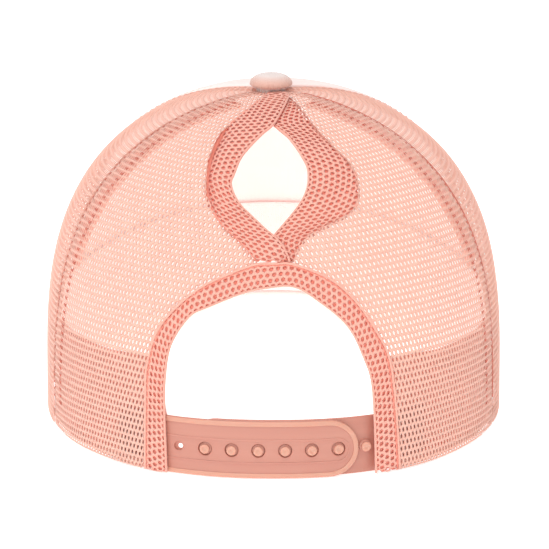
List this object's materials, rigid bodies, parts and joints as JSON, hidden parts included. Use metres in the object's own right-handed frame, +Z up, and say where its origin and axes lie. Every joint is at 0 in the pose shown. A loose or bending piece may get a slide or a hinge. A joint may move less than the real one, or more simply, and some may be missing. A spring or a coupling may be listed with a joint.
{
  "type": "trucker cap",
  "caption": "Mesh-back trucker cap with a criss-cross ponytail hole, an arch over a fastened plastic snap strap, a covered button and a curved peak.",
  "frame": {"origin": "middle of the bounding box on the surface that the cap rests on", "axes": "+Z up, -Y the way the peak points, +Y the strap, +X the wearer's left"},
  "size_m": [0.17, 0.2663, 0.1261],
  "materials": {
    "front_cloth": "woven polyester over thin foam, matt",
    "peak_cloth": "woven polyester over a stiff board, matt",
    "mesh_cloth": "knitted polyester net, matt",
    "hem_cloth": "doubled knitted net, matt",
    "tape_cloth": "woven seam tape, matt",
    "band_cloth": "woven cotton sweatband, matt",
    "snap_plastic": "moulded soft plastic, satin",
    "button_cloth": "woven cloth over a metal button, matt"
  },
  "bodies": {
    "root": {"front_panel": "front_cloth", "peak": "peak_cloth", "side_mesh_left": "mesh_cloth", "side_mesh_right": "mesh_cloth", "back_mesh_left": "mesh_cloth", "back_mesh_right": "mesh_cloth", "ponytail_hem_left": "hem_cloth", "ponytail_hem_right": "hem_cloth", "arch_hem": "hem_cloth", "side_seam_tape_left": "tape_cloth", "side_seam_tape_right": "tape_cloth", "sweatband": "band_cloth", "snap_strap_outer": "snap_plastic", "snap_strap_inner": "snap_plastic", "top_button": "button_cloth"}
  },
  "joints": []
}
